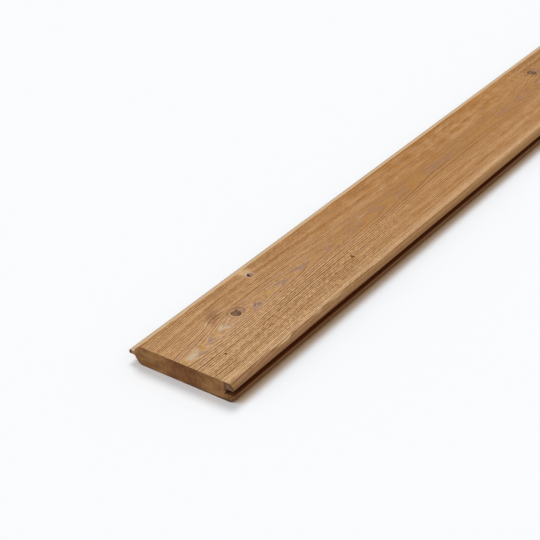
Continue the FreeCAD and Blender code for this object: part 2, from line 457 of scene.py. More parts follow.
class StageLook(bpy.types.PropertyGroup):
    """Floor, light and camera."""

    floor: colour("Floor", "Pale floor as it is seen", (0.985, 0.985, 0.99))
    # Painted glow and shade: the floor beside the board is tinted toward this warm, darker colour.
    floor_warm: colour("Floor, warm", "Floor where the wood glows on it", (0.92, 0.46, 0.05))
    floor_glow: colour("Floor glow", "Floor as it lights the board", (0.42, 0.42, 0.43))
    sky: number("Sky", "Strength of the even light", 0.40, min=0)
    sky_tint: colour("Sky tint", "Colour of the even light", (0.93, 0.97, 1.0))
    lamp: number("Lamp", "Strength of the soft lamp", 1.42, min=0)
    lamp_size: angle("Lamp size", "Angle of the soft lamp", 28)
    lamp_from: vector("Lamp from", "Direction to the soft lamp", (-0.40, 0.48, 0.80), "DIRECTION")
    fill: number("Fill", "Strength of the fill lamp", 1.25, min=0)
    fill_size: angle("Fill size", "Angle of the fill lamp", 60)
    fill_from: vector("Fill from", "Direction to the fill lamp", (-0.25, -0.75, 0.6), "DIRECTION")
    floor_side: length("Floor side", "Length and width of the floor", 60)
    lens: number("Lens", "Focal length in millimetres", 98.58, min=1)
    eye: vector("Eye", "Where the camera is", (0.6767, -1.73921, 0.78066), "TRANSLATION")
    down: angle("Down", "Tilt below level", 31.67)
    turn: angle("Turn", "Turn to the left", 34.642)


# Mesh tools


MOST_CUTS = 100  # one subdivide makes no more

# Rows of the mesh: how many in all, and where along the board (mm) a share of them is used up.
ROWS = 243
ROW_SHARES = (0.0, 0.40, 0.62, 1.0)
ROW_PLACES = (0.0, 240.0, 620.0, 1800.0)

# The faces of a sawn end: a rim along its outline, and a net inside it.
END_RIM = 0.35 * MM
END_NET = 3.1 * MM


def deselect():
    bpy.ops.object.select_all(action="DESELECT")


def pick(kind, test):
    """In edit mode, selects only the edges or faces that pass a test on their corners' places."""
    bpy.ops.mesh.select_mode(type=kind)
    bpy.ops.mesh.select_all(action="DESELECT")
    thing = bpy.context.edit_object
    mesh = bmesh.from_edit_mesh(thing.data)
    parts = mesh.edges if kind == "EDGE" else mesh.faces
    found = [part for part in parts if test([corner.co for corner in part.verts])]
    if not found:
        raise RuntimeError("nothing picked")
    for part in found:
        part.select_set(True)
    bmesh.update_edit_mesh(thing.data)


def lies_at(x, low, high=None):
    """A test for long edges or upright faces at x, at one height or between two."""
    if high is None:
        high = low
    return lambda corners: all(
        abs(corner.x - x) < SAME and low - SAME < corner.z < high + SAME for corner in corners
    )


def square_end(corners):
    """True of faces that lie in one of the two sawn ends."""
    return all(abs(abs(corner.y) - HIGH.y) < SAME for corner in corners) and (
        abs(sum(corner.y for corner in corners)) > SAME
    )


def cut_side(x, heights):
    """Cut an upright side into bands at these heights."""
    for height in heights:
        pick("FACE", lies_at(x, LOW.z, HIGH.z))
        bpy.ops.mesh.bisect(plane_co=(x, 0, height), plane_no=(0, 0, 1))


def push_band(x, low, high, distance):
    """Extrude one band of a side, outwards to a tongue or inwards to a groove."""
    pick("FACE", lies_at(x, low, high))
    bpy.ops.mesh.extrude_region_move(TRANSFORM_OT_translate={"value": (distance, 0, 0)})


def slide_edge(x, z, across, up):
    """Move a long edge across and up."""
    pick("EDGE", lies_at(x, z))
    bpy.ops.transform.translate(value=(across, 0, up))


def round_edge(x, z, radius, turn, segments):
    """Round a long edge to a radius, where the surface turns by this angle."""
    pick("EDGE", lies_at(x, z))
    bpy.ops.mesh.bevel(
        offset_type="OFFSET", offset=radius * math.tan(turn / 2), segments=segments,
        profile=0.5, affect="EDGES",
    )


def near_edges():
    """The section's edges in the near end, as pairs of (x, z) corners."""
    mesh = bmesh.from_edit_mesh(bpy.context.edit_object.data)
    return [
        tuple(corner.co.xz for corner in edge.verts)
        for edge in mesh.edges
        if all(abs(corner.co.y - LOW.y) < SAME for corner in edge.verts)
    ]


def spans(start, end):
    """A test for edges in a sawn end whose two corners are at these places of the section."""

    def test(corners):
        first, last = corners
        if abs(first.y - last.y) > SAME:
            return False
        straight = max((first.xz - start).length, (last.xz - end).length)
        swapped = max((first.xz - end).length, (last.xz - start).length)
        return min(straight, swapped) < SAME

    return test


def cut_columns(fine, coarse, foot):
    """Cut every flat of the section into columns, finely above the foot of the bevels."""
    # A flat that needs more columns than one cut can make is first cut in three.
    for enough, most in ((MOST_CUTS, 3), (1, MOST_CUTS)):
        for start, end in near_edges():
            shown = min(start.y, end.y) > foot - SAME
            parts = round((start - end).length / (fine if shown else coarse))
            if parts > enough:
                pick("EDGE", spans(start, end))
                bpy.ops.mesh.subdivide(number_cuts=min(parts, most) - 1)


def cut_rows():
    """Cut the board across into rows of one length, in three first."""
    shortest = 0.5 * (HIGH.y - LOW.y)
    for cuts in (2, ROWS // 3 - 1):
        pick("EDGE", lambda corners: abs(corners[0].y - corners[1].y) > shortest)
        bpy.ops.mesh.subdivide(number_cuts=cuts)
        shortest /= 3


def read(things, name, kind, each=1):
    """One property of all corners or faces as an array."""
    found = np.empty(len(things) * each, kind)
    things.foreach_get(name, found)
    return found


def places(mesh):
    """The corners' places as an array, three numbers each."""
    return read(mesh.vertices, "co", np.float64, 3).reshape(-1, 3)


def slide_rows(mesh):
    """Space the rows as ROW_SHARES and ROW_PLACES say."""
    at = places(mesh)
    share = (at[:, 1] - LOW.y) / (HIGH.y - LOW.y)
    along = np.interp(share, ROW_SHARES, ROW_PLACES) / ROW_PLACES[-1]
    at[:, 1] = LOW.y + along * (HIGH.y - LOW.y)
    mesh.vertices.foreach_set("co", at.ravel())
    mesh.update()


def close_ends():
    """Fill both sawn ends, each with a rim and a net of corners that the rings can follow."""
    for end in (LOW.y, HIGH.y):
        pick("EDGE", lambda corners: all(abs(corner.y - end) < SAME for corner in corners))
        bpy.ops.mesh.edge_face_add()
        bpy.ops.mesh.inset(thickness=END_RIM, depth=0)
        bpy.ops.mesh.hide(unselected=True)
        for normal, first, last in (((1, 0, 0), LOW.x, HIGH.x), ((0, 0, 1), LOW.z, HIGH.z)):
            for place in np.arange(first + END_NET / 2, last, END_NET):
                bpy.ops.mesh.select_all(action="SELECT")
                bpy.ops.mesh.bisect(plane_co=Vector(normal) * place, plane_no=normal)
        bpy.ops.mesh.reveal(select=False)


# The board


def model_section(section):
    """From a box to the planed section, as a long tube that is open at both ends."""
    top = HIGH.z
    nose = HIGH.x
    tip = LOW.x
    shoulder = tip + section.tongue_length
    foot = top - section.bevel_height
    nose_low = foot - section.nose_height
    groove_top = nose_low - section.upper_lead_in
    tongue_top = groove_top - section.slide_clearance
    tongue_low = tongue_top - section.tongue_thickness
    groove_low = tongue_low - section.slide_clearance
    lip_top = groove_low - section.lower_lead_in
    taper = section.tongue_taper
    setback = section.lip_setback
    left = section.tongue_side_bevel
    right = section.groove_side_bevel
    under = section.undercut_width

    deselect()
    bpy.ops.mesh.primitive_cube_add(
        size=1,
        location=((shoulder + nose) / 2, 0, top / 2),
        scale=(nose - shoulder, HIGH.y - LOW.y, top),
    )
    board = bpy.context.active_object
    bpy.ops.object.transform_apply(location=True, rotation=False, scale=True)

    bpy.ops.object.mode_set(mode="EDIT")
    pick("FACE", square_end)
    bpy.ops.mesh.delete(type="ONLY_FACE")
    cut_side(shoulder, (tongue_low, tongue_top, foot))
    cut_side(nose, (lip_top, groove_low, groove_top, nose_low, foot))
    push_band(shoulder, tongue_low, tongue_top, -section.tongue_length)
    push_band(nose, groove_low, groove_top, -section.groove_depth)
    pick("FACE", square_end)
    bpy.ops.mesh.delete(type="FACE")

    for x, z, across, up in (
        (tip, tongue_top, 0, -taper),
        (tip, tongue_low, 0, taper),
        (shoulder, top, left, 0),
        (nose, top, -right, 0),
        (shoulder, 0, under, 0),
        (nose, groove_top, -section.upper_lead_in, 0),
        (nose, groove_low, -setback - section.lower_lead_in, 0),
        (nose, lip_top, -setback, 0),
        (nose, 0, -setback, 0),
    ):
        slide_edge(x, z, across, up)

    square = math.pi / 2
    left_turn = math.atan2(section.bevel_height, left)
    right_turn = math.atan2(section.bevel_height, right)
    under_turn = math.atan2(tongue_low, under)
    groove_wall = nose - section.groove_depth
    for x, z, radius, turn, segments in (
        (tip, tongue_top - taper, section.tongue_tip_radius, square, 3),
        (tip, tongue_low + taper, section.tongue_tip_radius, square, 3),
        (groove_wall, groove_top, section.groove_corner_radius, square, 3),
        (groove_wall, groove_low, section.groove_corner_radius, square, 3),
        (shoulder + left, top, section.face_arris_radius, left_turn, 4),
        (nose - right, top, section.face_arris_radius, right_turn, 4),
        (nose, foot, section.nose_radius, square - right_turn, 3),
        (shoulder + under, 0, section.undercut_radius, under_turn, 6),
        (nose - setback, 0, section.back_radius, square, 8),
    ):
        round_edge(x, z, radius, turn, segments)
    return board, shoulder, foot


def beside(corner, end):
    """The corners next to one in the outline of a sawn end."""
    others = (edge.other_vert(corner) for edge in corner.link_edges)
    return [other for other in others if abs(other.co.y - end) < SAME]


def mark_round(board, shoulder, foot):
    """Store on each corner how far it is round the section, from the shoulder over the face."""
    mesh = bmesh.from_edit_mesh(board.data)
    layer = mesh.verts.layers.float.new("round")
    for end in (LOW.y, HIGH.y):
        ring = [corner for corner in mesh.verts if abs(corner.co.y - end) < SAME]
        start = min(ring, key=lambda corner: (corner.co.xz - Vector((shoulder, foot))).length)
        before = start
        here = max(beside(start, end), key=lambda corner: corner.co.z)
        travelled = (here.co - start.co).length
        while here is not start:
            here[layer] = travelled
            onward = [other for other in beside(here, end) if other is not before]
            before, here = here, onward[0]
            travelled += (here.co - before.co).length
    bmesh.update_edit_mesh(board.data)
    return travelled


def tree_places(mesh):
    """The corners' places in the tree's millimetres: across, along and up."""
    at = places(mesh) / MM
    return at[:, 0], at[:, 1] - LOW.y / MM, at[:, 2]


def store(mesh, name, values):
    """Keep numbers or vectors on the corners, for the finish to read."""
    kind, part = ("FLOAT", "value") if values.ndim == 1 else ("FLOAT_VECTOR", "vector")
    layer = mesh.attributes.new(name, kind, "POINT")
    layer.data.foreach_set(part, values.astype(np.float32).ravel())


BRUSH_REACH = 1.2  # how far under the surface the brush gets (mm)
LEAST_WEIGHT = 0.0005  # corners that the brush took less from are left alone


def brushed_depth(mesh, section, relief):
    """How much the brush took at each corner, as a share of relief.deepest."""
    across, along, up = tree_places(mesh)
    count, flat = grow_rings(across, along, up)
    place = nearest_knot(across, along, up)
    ring = np.floor(count)
    part = count - ring

    # Early wood is cleared, deepest just past the last ring, and rises to the next late wood.
    cleared = smooth(part, 0.0, 0.16) * (1 - smooth(part, 0.22, 0.86))
    cleared *= 0.35 + 0.65 * ring_strength(ring)
    cleared *= 1 - 0.55 * smooth(flat, 0.86, 0.97)
    split = smooth(part, 0.90, 0.97) + 1 - smooth(part, 0.02, 0.14)
    cleared = np.maximum(cleared, 1.1 * marked_rings(across, along, count) * np.minimum(split, 1))

    # Knots are hard and stand up, in a sunk line of bark.
    off = np.hypot(place[:, 0], place[:, 1])
    cleared *= smooth(off, 1.0, 1.7)
    rim = 0.3 * np.exp(-(((off - 1.0) / 0.13) ** 2))

    waves = np.array([
        noise.noise(Vector((x / 9 + relief.seed, y / 60, 0)))
        + 0.6 * noise.noise(Vector((x / 3, y / 22, relief.seed)))
        for x, y in zip(across, along)
    ])
    depth = relief.groove * (cleared + rim) + relief.wave * np.clip(0.5 + 0.5 * waves, 0, 1)

    # Soft places on the arrises.
    for dent in DENTS:
        off = (across - dent.across) / DENT_WIDE
        worn = np.exp(-(off ** 2) - dent_reach(dent, along) ** 2)
        depth += dent.depth * MM * worn

    # The brush reaches the face fully, the bevels less, and nothing below them.
    shoulder = (LOW.x + section.tongue_length) / MM
    foot = FACE - section.bevel_height / MM
    left = foot + (across - shoulder) * section.bevel_height / section.tongue_side_bevel
    right = foot + (HIGH.x / MM - across) * section.bevel_height / section.groove_side_bevel
    surface = np.minimum(FACE, np.minimum(left, right))
    reach = np.clip(1 - (surface - up) / BRUSH_REACH, 0, 1)
    reach = reach * (0.2 + 0.8 * smooth(surface, FACE - 2, FACE - 0.5))
    reach *= across > shoulder - 0.01
    return np.clip(depth * reach / relief.deepest, 0, 1)


def brush_face(board, section, relief):
    """Weigh the corners by what the brush took, and push them down by it."""
    depth = brushed_depth(board.data, section, relief)
    group = board.vertex_groups.new(name="brushed")
    for corner in np.nonzero(depth > LEAST_WEIGHT)[0]:
        group.add([int(corner)], float(depth[corner]), "REPLACE")
    brush = board.modifiers.new("Brush", "DISPLACE")
    brush.vertex_group = group.name
    brush.direction = "Z"
    brush.mid_level = 0
    brush.strength = -relief.deepest
    bpy.ops.object.modifier_apply(modifier=brush.name)
    board.vertex_groups.remove(board.vertex_groups["brushed"])


MAP_STRIPS = 3
MAP_GAP = 0.004
ROW_OVER = 0.016  # a strip's last row of faces may reach this far over its end


def lay_out_map(board, travelled, shown):
    """A map of the surface in strips: the shown side at full scale, the rest at half."""
    mesh = board.data
    corner_of = read(mesh.loops, "vertex_index", np.int32)
    first = read(mesh.polygons, "loop_start", np.int32)
    total = read(mesh.polygons, "loop_total", np.int32)
    face = np.repeat(np.arange(len(first)), total)

    def spread(values):
        """How far apart the corners of each corner's face are in these values."""
        return (np.maximum.reduceat(values, first) - np.minimum.reduceat(values, first))[face]

    x, y, z = places(mesh)[corner_of].T
    around = read(mesh.attributes["round"].data, "value", np.float32)[corner_of].astype(np.float64)
    seam = spread(around) > travelled / 2
    around[seam & (around < travelled / 2)] += travelled
    around = np.where(around < shown, around, shown + (around - shown) / 2)

    middle = (np.add.reduceat(y, first) / total)[face] - LOW.y
    strip_long = (HIGH.y - LOW.y) / MAP_STRIPS
    strip = np.clip(np.floor(middle / strip_long), 0, MAP_STRIPS - 1)
    strip_wide = shown + (travelled - shown) / 2 + MAP_GAP
    in_end = spread(y) < SAME
    beside_far = (y > 0) * (HIGH.x - LOW.x + MAP_GAP)
    u = np.where(in_end, x - LOW.x + beside_far, around + strip * strip_wide)
    v = np.where(in_end, strip_long + MAP_GAP + ROW_OVER + z, y - LOW.y - strip * strip_long)
    full = max(strip_wide * MAP_STRIPS, strip_long + 2 * MAP_GAP + ROW_OVER + HIGH.z)
    layer = mesh.uv_layers.new(name="OFBake")
    layer.data.foreach_set("uv", (np.stack([u, v], 1) / full).ravel().astype(np.float32))


# Finishes


# The finishes go by places in the section, in millimetres. Across, the tongue's tip is at -59, its
# shoulder at -52.8, the flat of the face from -47.2 to 53.8, the groove's bottom at 49.6 and the nose
# at 59. Up, the groove is from 7.8 to 12.6 and the bevels start at 14.6.
BOARD_HALF = (HIGH.y - LOW.y) / 2 / MM
ANY_LENGTH = 400  # how far the spots of a sawn end reach along the grain


class Amount:
    """A number on its way through a finish. Sums on it add Math nodes."""

    def __init__(self, finish, socket):
        self.finish = finish
        self.socket = socket

    def __add__(self, other):
        return self.finish.sum("ADD", self, other)

    __radd__ = __add__

    def __mul__(self, other):
        return self.finish.sum("MULTIPLY", self, other)

    __rmul__ = __mul__

    def __sub__(self, other):
        return self.finish.sum("SUBTRACT", self, other)

    def __rsub__(self, other):
        return self.finish.sum("SUBTRACT", other, self)

    def __abs__(self):
        return self.finish.sum("ABSOLUTE", self)


class Finish:
    """The nodes of a material or of the world, and the ways in which they are added."""

    def __init__(self, owner):
        owner.use_nodes = True
        self.owner = owner
        self.tree = owner.node_tree
        self.tree.nodes.clear()
        self.at = None  # places in millimetres
        self.colour = None  # what has been laid so far

    def add(self, kind, settings=None, inputs=None):
        """Add a node, its settings first, and then the values or links of its sockets."""
        node = self.tree.nodes.new(kind)
        for name, value in (settings or {}).items():
            setattr(node, name, value)
        for name, value in (inputs or {}).items():
            socket = node.inputs[name]
            if isinstance(value, Amount):
                self.tree.links.new(value.socket, socket)
            elif isinstance(value, bpy.types.NodeSocket):
                self.tree.links.new(value, socket)
            elif socket.type == "RGBA":
                socket.default_value = (*value[:3], 1)
            else:
                socket.default_value = value
        return node

    def sum(self, operation, *values):
        node = self.add("ShaderNodeMath", {"operation": operation}, dict(enumerate(values)))
        return Amount(self, node.outputs[0])

    def sine(self, value):
        return self.sum("SINE", value)

    def greater(self, first, second):
        return self.sum("MAXIMUM", first, second)

    def lesser(self, first, second):
        return self.sum("MINIMUM", first, second)

    def ease(self, value, low, high):
        """0 below low, 1 above high and an even curve between."""
        node = self.add(
            "ShaderNodeMapRange", {"interpolation_type": "SMOOTHSTEP"},
            {"Value": value, "From Min": low, "From Max": high},
        )
        return Amount(self, node.outputs[0])

    def fade(self, value, low, high):
        """1 below low and 0 above high."""
        return 1 - self.ease(value, low, high)

    def band(self, value, low, full, last, end):
        """1 from full to last, and 0 below low and above end."""
        return self.ease(value, low, full) * self.fade(value, last, end)

    def blend(self, first, second, share):
        """Mix two colours."""
        node = self.add("ShaderNodeMix", {"data_type": "RGBA"}, {0: share, 6: first, 7: second})
        return node.outputs[2]

    def lay(self, tint, share):
        """Lay a colour over what has been laid so far."""
        self.colour = self.blend(self.colour, tint, share)

    def parts(self, numbers):
        """A vector's three amounts."""
        node = self.add("ShaderNodeSeparateXYZ", None, {0: numbers})
        return [Amount(self, socket) for socket in node.outputs]

    def measure(self):
        """Object coordinates in millimetres, across, along and up."""
        at = self.add("ShaderNodeTexCoord").outputs["Object"]
        scale = {0: at, "Scale": 1 / MM}
        self.at = self.add("ShaderNodeVectorMath", {"operation": "SCALE"}, scale).outputs[0]
        return self.parts(self.at)

    def kept(self, name):
        """A number that is kept on the mesh's corners."""
        return Amount(self, self.add("ShaderNodeAttribute", {"attribute_name": name}).outputs["Fac"])

    def kept_parts(self, name):
        """A vector that is kept on the mesh's corners, as three amounts."""
        return self.parts(self.add("ShaderNodeAttribute", {"attribute_name": name}).outputs["Vector"])

    def spots(self, which, across, along, up=None, detail=3, rough=0.6):
        """Uneven spots, this many millimetres across, along and up, as an amount near 0.5."""
        sizes = (1 / across, 1 / along, 1 / (up or across))
        where = self.add("ShaderNodeVectorMath", {"operation": "MULTIPLY"}, {0: self.at, 1: sizes})
        node = self.add(
            "ShaderNodeTexNoise", {"noise_dimensions": "4D"},
            {"Vector": where.outputs[0], "W": which, "Scale": 1, "Detail": detail, "Roughness": rough},
        )
        return Amount(self, node.outputs[0])

    def close(self, kind, inputs, output="ShaderNodeOutputMaterial"):
        """End the nodes in a shader of this kind."""
        shader = self.add(kind, None, inputs)
        self.add(output, None, {"Surface": shader.outputs[0]})
        return self.owner

    def surface(self, rough, height, distance, specular):
        """End the nodes in a Principled shader, with this height as bump."""
        bump = self.add("ShaderNodeBump", None, {"Strength": 1, "Distance": distance, "Height": height})
        return self.close("ShaderNodeBsdfPrincipled", {
            "Base Color": self.colour,
            "Roughness": rough,
            "Specular IOR Level": specular,
            "Normal": bump.outputs[0],
        })


def between(first, second, share):
    """A colour part of the way from one to another."""
    return Vector(first).lerp(Vector(second), share)


def read_rings(wood):
    """Each point's part of its ring, from 0 to 1, and how hard that ring is."""
    unsteady = wood.spots(1, 5, 36, detail=4, rough=0.65) - 0.5
    frayed = wood.spots(2, 0.9, 7, detail=2) - 0.5
    ragged = wood.spots(25, 2.6, 8, 5, detail=2) - 0.5
    lying = wood.ease(wood.kept("flat"), 0.86, 0.97)
    count = wood.kept("ring") + unsteady * (0.26 + 0.7 * lying) + frayed * 0.20
    count = count + ragged * lying * 0.7
    ring = wood.sum("FLOOR", count)
    hard = wood.sine(ring * 2.4 + wood.sine(ring * 5.1) * 2) * 0.5 + 0.5
    return wood.sum("FRACT", count), hard


def finish_face(look):
    """The brushed face and bevels: rings, flame, knots and the dashes that the brush left."""
    wood = Finish(bpy.data.materials.new("brushed softwood"))
    across, along, up = wood.measure()
    along = along + BOARD_HALF
    part, hard = read_rings(wood)
    flat = wood.kept("flat")
    marked = wood.kept("marked")
    worn = wood.kept("worn")
    unworn = 1 - worn * 0.7
    flame = wood.ease(flat, 0.72, 0.94)
    round_flame = wood.ease(flat, 0.45, 0.90)
    pale_side = wood.ease(across, -22, 30)
    strip = wood.ease(across, 44, 48)
    farther = wood.ease(along, 40, 380)
    soft = wood.band(along, 150, 430, 640, 780)
    slow = wood.spots(3, 12, 90)
    blotch = wood.spots(14, 4, 22)
    veil = wood.spots(21, 2.6, 8)
    fibre = wood.spots(4, 0.28, 6, rough=0.65)
    streak = wood.spots(5, 1.3, 60, rough=0.55)
    patch = wood.spots(26, 6, 45)
    cloud = wood.spots(30, 8, 20)
    hue = wood.spots(28, 3.6, 11, detail=2)

    # The ground colour, in slow bands and blotches.
    light = 0.18 + wood.ease(slow, 0.30, 0.62) * 0.64
    wood.colour = wood.blend(look.early_deep, look.early_light, light)
    warmth = (1 - pale_side) * (0.25 + 0.10 * farther) + farther
    streaks = 0.30 + 0.15 * soft + wood.ease(streak, 0.20, 0.75) * (0.55 - 0.25 * soft)
    wood.lay(look.warm, warmth * streaks)
    wood.lay(look.warm, wood.ease(blotch, 0.44, 0.62) * 0.18)
    wood.lay(look.worn, wood.fade(blotch, 0.36, 0.52) * pale_side * 0.25)
    patched = soft * (0.36 - 0.14 * pale_side + 0.16 * round_flame)
    wood.lay(look.late, wood.ease(patch, 0.48, 0.64) * patched)
    wood.lay(look.worn, wood.fade(patch, 0.34, 0.50) * soft * (0.16 + 0.16 * round_flame))
    clouded = soft * (1 - pale_side * 0.7)
    wood.lay(look.warm, wood.ease(cloud, 0.46, 0.60) * clouded * 0.55)
    wood.lay(between(look.worn, look.warm, 0.30), wood.fade(cloud, 0.38, 0.52) * clouded * 0.26)
    wood.lay(look.worn, strip * (0.9 - 0.12 * farther) * (1 - worn * 0.5))
    wood.lay(look.warm, pale_side * farther * 0.20)
    wood.lay(look.rosy, round_flame * wood.ease(veil, 0.34, 0.56) * (0.75 - 0.55 * farther))
    wood.lay(look.warm, flame * farther * 0.75)
    wood.lay(look.warm, wood.fade(across, -46, -40) * 0.62)
    wood.lay(look.rosy, wood.ease(hue, 0.52, 0.66) * 0.30)
    wood.lay(look.ochre, wood.fade(hue, 0.34, 0.48) * 0.22)

    # What the brush left: short dashes, with a painted highlight on their crests and painted shade in
    # their hollows.
    grit = wood.spots(15, 1.1, 4.4, detail=2, rough=0.62)
    coarse = (0.40 + 0.60 * pale_side) * (1 - soft * 0.92) * (1 - flame * 0.4) * (1 - strip * 0.5)
    wood.lay(look.late, wood.ease(grit, 0.50, 0.62) * coarse * 0.48)
    wood.lay(look.worn, wood.fade(grit, 0.38, 0.50) * coarse * unworn * 0.85)

    # Rings: a dark line of late wood, and pale early wood past it.
    late = wood.band(part, 0.38, 0.90, 0.93, 1.0)
    wavering = wood.ease(wood.spots(17, 2.4, 17), 0.38, 0.54) * 0.72 + 0.34
    ring_dark = late * (0.60 - 0.08 * pale_side + (0.40 + 0.02 * pale_side) * hard)
    sharp = 1 - soft * (0.78 - 0.36 * pale_side - 0.16 * round_flame)
    wood.lay(look.late, ring_dark * (1 - flame * 0.30) * sharp * wavering * unworn)
    ring_pale = wood.band(part, 0.05, 0.2, 0.25, 0.5) * hard
    clear = (1 - flame) * (1 - strip * 0.6) * (0.50 - (0.42 - 0.12 * pale_side) * soft)
    wood.lay(look.worn, ring_pale * (clear + marked * 0.3))

    # The flame along the middle, where the rings lie flat.
    stains = wood.kept_parts("stain")
    uneven = wood.spots(12, 1.6, 9)
    mottle = wood.ease(uneven, 0.36, 0.60)
    wood.lay(look.cream, flame * wood.ease(veil, 0.50, 0.64) * (0.42 - 0.38 * farther))
    wood.lay(look.ochre, flame * wood.fade(veil, 0.38, 0.5) * 0.40)
    ochre_band = flame * wood.band(part, 0.08, 0.3, 0.35, 0.6) * mottle * 0.65
    mauve_band = flame * wood.band(part, 0.5, 0.88, 0.90, 0.99) * mottle * (0.40 + farther * 0.20)
    whole = wood.ease(flame, 0.0, 0.6)
    cream = wood.blend(look.worn, look.cream, whole)
    mauve = wood.blend(look.mauve, look.knot_heart, wood.ease(stains[MAUVE], 0.90, 1.35) * 0.75)
    mauve = wood.blend(between(look.rosy, look.late, 0.5), mauve, whole)
    for kind, tint, band in (
        (OCHRE, look.ochre, ochre_band), (CREAM, cream, None), (MAUVE, mauve, mauve_band)
    ):
        laid = stains[kind]
        follow_ring = 1.2 if band is None else 0.80 + wood.lesser(band * 3, 1.0) * 0.60
        amount = laid * follow_ring * 1.35 + (uneven - 0.5) * 3.0 * wood.ease(laid, 0.02, 0.5)
        amount = wood.ease(amount, 0.0, 1.15) * (1 - 0.35 * farther)
        wood.lay(tint, amount if band is None else wood.greater(amount, band))
    fleck = wood.spots(27, 1.3, 3.6)
    flecked = flame * (1 - farther * 0.8) * 0.30
    wood.lay(look.late, flame * (0.03 + farther * 0.23))
    wood.lay(look.late, wood.ease(fleck, 0.52, 0.66) * flecked)
    wood.lay(look.worn, wood.fade(fleck, 0.36, 0.50) * flecked)

    # Dashes beside the late wood, where the brush broke the soft wood out, laid dark as dirt and
    # painted shade.
    dash = wood.ease(wood.spots(6, 0.7, 7, detail=2, rough=0.7), 0.42, 0.60)
    broken = wood.ease(wood.spots(16, 1.8, 34, detail=2), 0.38, 0.56)
    edge = wood.lesser(wood.fade(part, 0.05, 0.20) + wood.ease(part, 0.90, 0.985), 1.0)
    reach = (0.20 + 0.80 * hard) * (0.15 + 0.85 * broken) * (1 - flame * 0.75)
    gap = wood.greater(dash * reach * 0.75, wood.lesser(marked * (1.15 + 0.30 * dash), 1.0))
    gap = edge * gap * (1 - soft * 0.72) * unworn
    wood.lay(look.crevice, gap * 0.85)
    wood.lay(look.late, wood.ease(fibre, 0.50, 0.72) * (0.35 - 0.33 * soft))

    # The bevels: pale over the tongue, brown over the groove, partly as painted shade, and pale where
    # an arris is worn.
    wander = (wood.spots(23, 60, 17, detail=2) - 0.5) * 2
    wood.lay(look.worn, wood.fade(across + wander * 1.2 - worn * 1.8, -47.6, -46.6) * 0.42)
    wandered = across + wander * 0.8 - worn * 2.8
    over_groove = wood.ease(wandered - soft * 0.3, 53.0 - soft * 0.8, 54.6 + soft * 0.4)
    shade_toward_nose = over_groove * wood.fade(up, 14.8, 17.8)
    arris_shadow_line = over_groove * wood.fade(wandered, 54.6, 55.6) * wood.ease(veil, 0.38, 0.56)
    # The brown over the groove is partly the wood's own tone and partly painted shade of a bevel turned
    # from the light.
    brown = wood.blend(look.planed, look.early_deep, 0.25 + wood.ease(blotch, 0.4, 0.65) * 0.2)
    brown = wood.blend(brown, look.rosy, wood.ease(hue, 0.42, 0.60) * 0.26)
    wood.lay(brown, over_groove * (0.84 - 0.42 * farther))
    wood.lay(look.warm, over_groove * farther * 0.42)
    # Painted shade: the bevel darkens toward the nose, where it rounds under into the groove.
    wood.lay(look.knot_heart, shade_toward_nose * 0.26)
    wood.lay(look.late, shade_toward_nose * (0.28 + 0.02 * farther))
    wood.lay(look.rosy, over_groove * wood.fade(up, 14.0, 14.9) * 0.22)
    # Painted shadow: a dark broken line under the arris over the groove.
    wood.lay(look.late, arris_shadow_line * (0.4 - 0.4 * soft))

    # Knots, each with a heart in a dark rim.
    side, beyond, tone = wood.kept_parts("knot")
    near_knot = wood.ease(tone, 0.30, 0.45)
    live = near_knot * wood.fade(tone, 0.74, 0.80)
    pin = wood.ease(tone, 0.95, 0.98)
    dead = near_knot - live - pin
    ragged = (wood.spots(7, 2.6, 2.6) - 0.5) * 1.1
    off = wood.sum("SQRT", side * side + beyond * beyond) + ragged
    heart = near_knot * wood.fade(off, 0.90, 1.06)
    rim_tone = wood.ease(wood.spots(19, 3.4, 3.4, detail=2), 0.44, 0.56)
    rim = wood.greater(rim_tone, wood.fade(beyond, -0.6, 0.3)) * 0.9
    rim = rim * wood.band(off, 0.66, 0.92, 1.0, 1.15)
    speck = wood.ease(wood.spots(13, 3.2, 3.2), 0.48, 0.56)
    rings_in = wood.sine(off * 17 + ragged * 4) * 0.5 + 0.5
    inner = wood.blend(look.knot_heart, look.early_deep, 0.25 - rings_in * 0.25)
    inner = wood.blend(inner, look.mauve, dead * 0.9)
    inner = wood.blend(inner, look.bark_and_shade, speck * (1 - dead * 0.7) * 0.8)
    inner = wood.blend(inner, between(look.late, look.crevice, 0.7), pin)
    halo = wood.blend(look.rosy, look.cream, wood.fade(side, -1.2, 1.2))
    wood.lay(halo, wood.band(off, 0.9, 1.1, 1.2, 2.4) * dead * 0.6)
    wood.lay(inner, heart)
    wood.lay(look.bark_and_shade, rim * (0.9 * live + 0.4 * dead + 0.1 * pin))

    # A live knot has a paler second lobe beyond it, and a dead one is split.
    lobe_at = beyond - 1.45
    lobe_off = wood.sum("SQRT", side * side * 0.85 + lobe_at * lobe_at) + ragged
    beyond_heart = (1 - heart) * live
    lobe = wood.fade(lobe_off, 0.78, 1.20) * beyond_heart
    lobe_rim = wood.band(lobe_off, 0.66, 0.90, 0.9, 1.2) * beyond_heart
    lobe_tint = wood.blend(look.mauve, look.late, wood.sine(lobe_off * 9) * 0.22 + 0.35)
    wood.lay(lobe_tint, lobe * (0.40 + mottle * 0.35))
    wood.lay(look.knot_heart, lobe_rim * (0.35 + mottle * 0.35))
    outer = wood.band(off, 1.45, 1.75, 1.8, 2.15) * live * (1 - lobe)
    wood.lay(look.knot_heart, outer * (0.15 + mottle * 0.45))
    split = abs(side * 0.45 + beyond * 0.89 + 0.62) + ragged * 0.3
    split = wood.fade(split, 0.34, 0.52) * heart * dead
    wood.lay(look.bark_and_shade, split)
    wood.lay(look.split, split * 0.85)

    height = late * (0.35 + 0.65 * hard) * 0.5 - gap - rim * 0.6 + fibre * 0.45 - split
    height = height - grit * coarse * 3.0
    return wood.surface(0.82 - late * 0.08 + gap * 0.1, height, 0.00035, 0.1)


